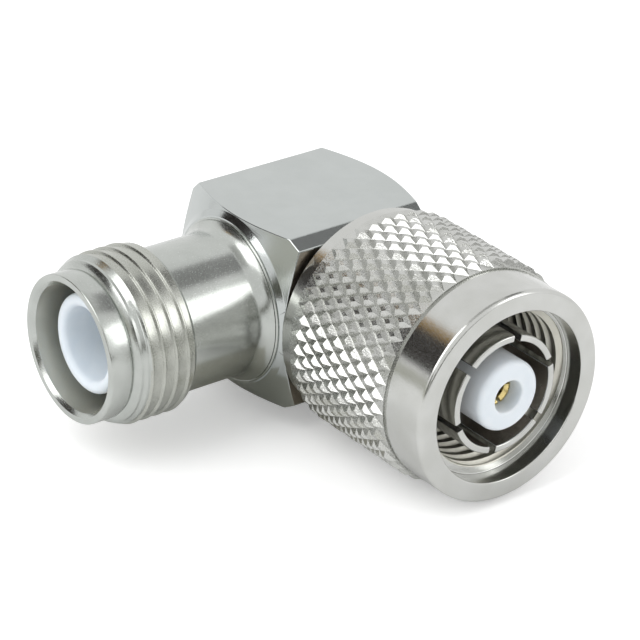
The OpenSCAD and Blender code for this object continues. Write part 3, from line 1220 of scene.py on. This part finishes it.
    def socket(self) -> Piece:
        """Turns the socket and slits it into springs."""
        base = self.socket_front - self.socket_depth - self.socket_floor
        bottom = self.socket_front - self.socket_depth
        piece = turned("plug_centre_socket", [
            (0, self.socket_tail),
            (self.tail_r, self.socket_tail, Edge.EASED),
            (self.tail_r, base, Edge.BROKEN),
            (self.socket_r, base, Edge.BROKEN),
            (self.socket_r, self.socket_front, Edge.SOFT),
            (self.socket_bore_r + self.socket_lead, self.socket_front, Edge.CRISP),
            (self.socket_bore_r, self.socket_front - self.socket_lead, Edge.SOFT),
            (self.socket_bore_r, bottom, Edge.BROKEN),
            (0, bottom),
        ])
        start = self.socket_front - self.slit_len
        end = self.socket_front + PAST
        cut(piece, self.slots(self.slit_count, self.slit_turn, self.slit_w, self.slit_w, start, end))
        return piece

    def ring(self) -> Piece:
        """Turns the retaining ring and splits it."""
        piece = turned("split_ring", [
            (self.ring_inner_r, self.ring_start, Edge.SOFT),
            (self.ring_outer_r, self.ring_start, Edge.SOFT),
            (self.ring_outer_r, self.ring_end, Edge.SOFT),
            (self.ring_inner_r, self.ring_end, Edge.SOFT),
        ])
        middle = (self.ring_outer_r, 0, (self.ring_start + self.ring_end) / 2)
        gap = cuboid("gap", (self.ring_outer_r, self.ring_split, 2 * PAST), middle)
        leave_edit()
        cut(piece, gap)
        return piece

    def gasket(self) -> Piece:
        """Turns the gasket."""
        inner = self.sleeve_r + self.fit_gap
        return turned("rubber_gasket", [
            (inner, self.hub_front, self.gasket_foot),
            (self.gasket_r, self.hub_front, self.gasket_foot),
            (self.gasket_r, self.gasket_end, self.gasket_lip),
            (inner, self.gasket_end, self.gasket_lip),
        ])

    def build(self) -> None:
        """Models and dresses the plug's pieces."""
        jobs = (
            (self.hub(), Finish.PLUG, "nickel_turned", "plug_shell"),
            (self.spring_sleeve(), Finish.PLUG, "nickel_turned", "outer_contact"),
            (self.core(), Finish.PLUG_CORE, "white_insulator", "plug_insulator"),
            (self.socket(), Finish.GOLD, "gold_contact", "plug_socket"),
            (self.ring(), Finish.STEEL, "spring_steel", "retaining_ring"),
            (self.gasket(), Finish.RUBBER, "dark_rubber", "gasket"),
        )
        for piece, finish, slot, node in jobs:
            coat(piece, finish)
            if node == "outer_contact":
                # Painted shade: the sleeve's bore gets the dark brown plate, for the shade between sleeve
                # and core.
                bore = self.sleeve_r - self.sleeve_wall
                coat_stretch(piece, Finish.SPRING, bore + MERGE, self.sleeve_start, self.sleeve_tip)
            stand_in(piece, Arm.PLUG, node)


@dataclass
class CouplingNut:
    """Coupling nut: smooth collar, diamond knurl, smooth front ring and an inside thread."""

    rear: float = reach("coupling_nut", 0, False)
    front: float = reach("coupling_nut", 0, True)
    crest_r: float = (reach("coupling_nut", 2, True) - reach("coupling_nut", 2, False)) / 2
    collar_r: float = 7.0
    collar_len: float = 1.1
    collar_edge: float = 0.1
    knurl_len: float = 9.4
    knurl_depth: float = 0.27
    knurl_count: int = 46
    knurl_rows: int = 11
    knurl_flat: float = 0.35
    knurl_sink: float = 0.2
    ring_groove: float = 0.15
    ring_r: float = 7.08
    ring_round: float = 0.35
    mouth_r: float = 5.72
    mouth_depth: float = 1.35
    thread_inner_r: float = 5.15
    thread_outer_r: float = 5.52
    thread_phase: float = 20
    thread_sink: float = 0.05
    thread_flat: float = 0.1
    relief_r: float = 5.65
    relief_len: float = 1.0
    bearing_r: float = 5.05
    bearing_len: float = 4.3
    clip_start: float = 1.9
    clip_room: float = 0.9
    clip_room_r: float = 5.5
    sharp_above: float = 28

    def sleeve(self) -> Piece:
        """Turns the nut without its knurl, and cuts its inside thread."""
        clip = self.rear + self.clip_start
        bearing = self.rear + self.bearing_len
        step = self.front - self.mouth_depth
        ring = self.rear + self.collar_len + self.knurl_len + self.ring_groove
        piece = turned("knurled_nut", [
            (self.bearing_r, self.rear, Edge.ROUNDED),
            (self.collar_r - self.collar_edge, self.rear, Edge.CRISP),
            (self.collar_r, self.rear + self.collar_edge, Edge.BROKEN),
            (self.collar_r, ring, Edge.CRISP),
            (self.ring_r, ring, Edge.SOFT),
            (self.ring_r, self.front, self.ring_round),
            (self.mouth_r, self.front, Edge.EASED),
            (self.mouth_r, step, Edge.EASED),
            (self.thread_inner_r, step, Edge.ROUNDED),
            (self.thread_inner_r, bearing + self.relief_len, Edge.BROKEN),
            (self.relief_r, bearing + self.relief_len, Edge.BROKEN),
            (self.relief_r, bearing, Edge.BROKEN),
            (self.bearing_r, bearing, Edge.FINE),
            (self.bearing_r, clip + self.clip_room, Edge.FINE),
            (self.clip_room_r, clip + self.clip_room, Edge.FINE),
            (self.clip_room_r, clip, Edge.FINE),
            (self.bearing_r, clip, Edge.FINE),
        ])
        root_r = self.thread_inner_r - self.thread_sink
        form = Thread(self.thread_outer_r, root_r, self.thread_phase, crest_flat=self.thread_flat)
        tap = helix_rod("tap", form, bearing + self.relief_len, step)
        cut(piece, tap)
        return piece

    def knurl(self) -> Piece:
        """Models the diamond knurl as a band round the nut."""
        valley_r = self.crest_r - self.knurl_depth
        inner_r = self.collar_r - self.knurl_sink
        start = self.rear + self.collar_len
        around = 2 * self.knurl_count
        bpy.ops.object.select_all(action="DESELECT")
        bpy.ops.mesh.primitive_cylinder_add(
            vertices=around, radius=valley_r, depth=self.knurl_len, end_fill_type="NOTHING"
        )
        piece = bpy.context.object
        piece.name = "knurl_band"
        edit(piece)
        bpy.ops.transform.translate(value=(0, 0, start + self.knurl_len / 2))
        for row in range(1, self.knurl_rows):
            place = start + self.knurl_len * row / self.knurl_rows
            bpy.ops.mesh.select_all(action="SELECT")
            bpy.ops.mesh.bisect(plane_co=(0, 0, place), plane_no=(0, 0, 1))
        self.pick_crests(piece, start)
        grow = 1 + self.knurl_depth / (1 - self.knurl_flat) / valley_r
        bpy.ops.transform.resize(value=(grow, grow, 1), center_override=(0, 0, 0))
        bpy.ops.mesh.select_all(action="SELECT")
        bpy.ops.mesh.quads_convert_to_tris(quad_method="SHORTEST_DIAGONAL")
        self.pick_crests(piece, start)
        bpy.ops.mesh.bevel(offset_type="PERCENT", offset_pct=100 * self.knurl_flat, affect="VERTICES")
        bpy.ops.mesh.select_all(action="DESELECT")
        bpy.ops.mesh.select_non_manifold(extend=False)
        shrink = inner_r / valley_r
        bpy.ops.mesh.extrude_edges_move()
        bpy.ops.transform.resize(value=(shrink, shrink, 1), center_override=(0, 0, 0))
        bpy.ops.mesh.bridge_edge_loops()
        close_up()
        leave_edit()
        return piece

    def pick_crests(self, piece: Piece, start: float) -> None:
        """Selects the knurl's crests: every other point of a row, half a step round from the next row.

        Args:
            piece: The knurl, in edit mode.
            start: Place where the knurl starts.
        """

        def is_crest(point: bmesh.types.BMVert) -> bool:
            """Tells whether a point of the knurl is a crest."""
            row = round((point.co.z - start) / self.knurl_len * self.knurl_rows)
            turn = math.atan2(point.co.y, point.co.x)
            column = round(turn / FULL_TURN * 2 * self.knurl_count)
            return 0 < row < self.knurl_rows and (row + column) % 2 == 0

        pick(piece, Element.POINTS, is_crest)

    def build(self) -> None:
        """Models and dresses the nut."""
        sleeve = self.sleeve()
        coat(sleeve, Finish.NUT)
        step = self.front - self.mouth_depth
        bearing = self.rear + self.bearing_len
        # Painted light: the nut's inside thread stretch gets the lighter copy of the plate.
        coat_stretch(sleeve, Finish.BORE, self.thread_outer_r + MERGE, bearing, step - MERGE)
        knurl = self.knurl()
        coat(knurl, Finish.KNURL)
        nut = join([sleeve, knurl])
        stand_in(nut, Arm.PLUG, "coupling_nut", self.sharp_above, Body.NUT)


def toward(azimuth: float, elevation: float) -> Vector:
    """Gives the unit vector from the object toward a place round it.

    Args:
        azimuth: Angle from the jack's arm toward the plug's, in degrees.
        elevation: Angle above the level, in degrees.

    Returns:
        The unit vector.
    """
    turn = math.radians(azimuth)
    rise = math.radians(elevation)
    flat = math.cos(rise)
    return Vector((math.sin(turn) * flat, -math.cos(turn) * flat, math.sin(rise)))


@dataclass(frozen=True)
class Card:
    """Card or soft light that stands round the object, seen from it at an azimuth and an elevation."""

    name: str
    azimuth: float
    elevation: float
    wide: float
    tall: float
    distance: float = 0.5

    def placing(self, target: Vector) -> Matrix:
        """Gives the matrix that stands the card round a target, facing it."""
        back = toward(self.azimuth, self.elevation)
        turn = back.to_track_quat("Z", "Y").to_matrix().to_4x4()
        return Matrix.Translation(target + back * self.distance) @ turn

    def span(self, degrees: float) -> float:
        """Gives the length that fills an angle at the card's distance."""
        return 2 * self.distance * math.tan(math.radians(degrees) / 2)


FLOOR_GAP = 0.05
UNDER_DISTANCE = (AXIS_Z - FLOOR_GAP) * MM - CAD_BOX[0].z
DARK_CARDS: tuple[tuple[Card, Colour], ...] = (
    (Card("left_card", -42, 28.5, 38, 31), (0.03, 0.026, 0.024)),
    (Card("amber_card", -58, 40, 12, 6, 0.48), (0.35, 0.2, 0.03)),
    (Card("low_card", -12, 3, 66, 14), (0.56, 0.56, 0.5)),
    (Card("near_card", 21, 9, 20, 22, 0.48), (0.09, 0.09, 0.07)),
    (Card("apron", 68, 1, 88, 15, 0.47), (0.1, 0.1, 0.075)),
    # Painted shade: this sheet under the object, seen only by the metal, stands in for the floor's shadow
    # there.
    (Card("floor_shadow_card", 0, -90, 105, 105, UNDER_DISTANCE), (0.56, 0.55, 0.49)),
    (Card("top_strip", 174, 56, 30, 18), (0.27, 0.27, 0.27)),
    (Card("ceiling", 0, 90, 40, 40), (0.55, 0.55, 0.54)),
)
SOFT_BOXES: tuple[tuple[Card, float], ...] = (
    (Card("front_box", -5, 50, 32, 48), 2.2),
    (Card("side_box", 127, 28, 18, 26), 2.2),
)


@dataclass
class Studio:
    """Pale floor, soft light and the camera at the photograph's angle."""

    azimuth: float = 51.62
    elevation: float = 27.82
    roll: float = 2.32
    across: float = -0.49
    up: float = 3.03
    distance: float = 197.52
    focal_px: float = 3033.1
    image_px: float = 640
    sensor: float = 36
    clip_near: float = 0.01
    clip_far: float = 10
    floor_size: float = 4.0
    floor_shine: float = 0.28
    floor_rough: float = 0.9
    floor_cloud: float = 40
    floor_dark: Colour = (0.96, 0.96, 0.96)
    floor_light: Colour = (0.97, 0.97, 0.97)
    ambient: float = 0.85

    def camera(self) -> None:
        """Sets the camera at the photograph's angle."""
        azimuth = math.radians(self.azimuth)
        roll = math.radians(self.roll)
        back = toward(self.azimuth, self.elevation)
        level = Vector((math.cos(azimuth), math.sin(azimuth), 0))
        upright = back.cross(level)
        right = level * math.cos(roll) + upright * math.sin(roll)
        up = upright * math.cos(roll) - level * math.sin(roll)
        crossing = Vector((0, 0, AXIS_Z))
        place = crossing + back * self.distance - right * self.across - up * self.up
        data = bpy.data.cameras.new("camera")
        data.sensor_width = self.sensor
        data.lens = self.focal_px / self.image_px * self.sensor
        data.clip_start = self.clip_near
        data.clip_end = self.clip_far
        camera = bpy.data.objects.new("camera", data)
        bpy.context.scene.collection.objects.link(camera)
        turn = Matrix((right, up, back)).transposed().to_4x4()
        camera.matrix_world = Matrix.Translation(place * MM) @ turn
        bpy.context.scene.camera = camera

    def floor(self) -> None:
        """Lays the pale floor under the object."""
        bpy.ops.object.select_all(action="DESELECT")
        bpy.ops.mesh.primitive_plane_add(size=self.floor_size, location=(0, 0, CAD_BOX[0].z))
        floor = bpy.context.object
        floor.name = "floor"
        nodes = Nodes("pale_floor")
        preset(nodes.shader, {
            "Roughness": self.floor_rough,
            "Specular IOR Level": 0.0,
            "Emission Color": (1, 1, 1, 1),
        })
        nodes.tint(nodes.noise(self.floor_cloud), self.floor_dark, self.floor_light)
        rays = nodes.add("ShaderNodeLightPath")
        shine = nodes.add("ShaderNodeMath", operation="MULTIPLY")
        preset(shine, {1: self.floor_shine})
        nodes.link(rays.outputs["Is Camera Ray"], shine.inputs[0])
        nodes.link(shine.outputs["Value"], nodes.shader.inputs["Emission Strength"])
        floor.data.materials.append(nodes.material)

    def world(self) -> None:
        """Surrounds the object with soft light that shows as white."""
        world = bpy.data.worlds.new("soft_white")
        bpy.context.scene.world = world
        world.use_nodes = True
        tree = world.node_tree
        tree.nodes.clear()
        rays = tree.nodes.new("ShaderNodeLightPath")
        shown = rays.outputs["Is Camera Ray"]
        for kind in ("Is Glossy Ray", "Is Transmission Ray"):
            either = tree.nodes.new("ShaderNodeMath")
            either.operation = "MAXIMUM"
            tree.links.new(shown, either.inputs[0])
            tree.links.new(rays.outputs[kind], either.inputs[1])
            shown = either.outputs["Value"]
        mix = tree.nodes.new("ShaderNodeMixShader")
        tree.links.new(shown, mix.inputs["Fac"])
        for place, strength in ((1, self.ambient), (2, 1.0)):
            light = tree.nodes.new("ShaderNodeBackground")
            preset(light, {"Color": (1, 1, 1, 1), "Strength": strength})
            tree.links.new(light.outputs["Background"], mix.inputs[place])
        output = tree.nodes.new("ShaderNodeOutputWorld")
        tree.links.new(mix.outputs["Shader"], output.inputs["Surface"])

    def dark_card(self, card: Card, colour: Colour, target: Vector) -> None:
        """Stands a dark card where only the metal sees it.

        Args:
            card: Place and size of the card.
            colour: Its colour.
            target: The point that it faces.
        """
        bpy.ops.object.select_all(action="DESELECT")
        bpy.ops.mesh.primitive_plane_add(size=1)
        piece = bpy.context.object
        piece.name = card.name
        piece.matrix_world = card.placing(target) @ Matrix.Diagonal(
            (card.span(card.wide), card.span(card.tall), 1, 1)
        )
        nodes = Nodes(card.name)
        preset(nodes.shader, {"Base Color": (*colour, 1), "Roughness": 1.0, "Specular IOR Level": 0.0})
        piece.data.materials.append(nodes.material)
        piece.visible_camera = False
        piece.visible_diffuse = False
        piece.visible_shadow = False

    def soft_box(self, card: Card, radiance: float, target: Vector) -> None:
        """Stands a soft light round the object.

        Args:
            card: Place and size of the light.
            radiance: Brightness of its face, where 1 is white.
            target: The point that it faces.
        """
        wide = card.span(card.wide)
        tall = card.span(card.tall)
        data = bpy.data.lights.new(card.name, "AREA")
        data.shape = "RECTANGLE"
        data.size = wide
        data.size_y = tall
        data.energy = radiance * math.pi * wide * tall
        lamp = bpy.data.objects.new(card.name, data)
        bpy.context.scene.collection.objects.link(lamp)
        lamp.matrix_world = card.placing(target)
        lamp.visible_camera = False

    def build(self) -> None:
        """Sets up the camera, floor, light and cards."""
        target = Vector((0, 0, AXIS_Z * MM))
        self.camera()
        self.floor()
        self.world()
        for card, colour in DARK_CARDS:
            self.dark_card(card, colour, target)
        for card, radiance in SOFT_BOXES:
            self.soft_box(card, radiance, target)


def main() -> None:
    """Builds the studio and the adapter."""
    logging.basicConfig(level=logging.INFO, format="%(message)s")
    bpy.context.scene.view_settings.view_transform = "Standard"
    Studio().build()
    for assembly in (ElbowBlock(), JackArm(), PlugArm(), CouplingNut()):
        LOG.info("building %s", type(assembly).__name__)
        assembly.build()


if __name__ == "__main__":
    main()
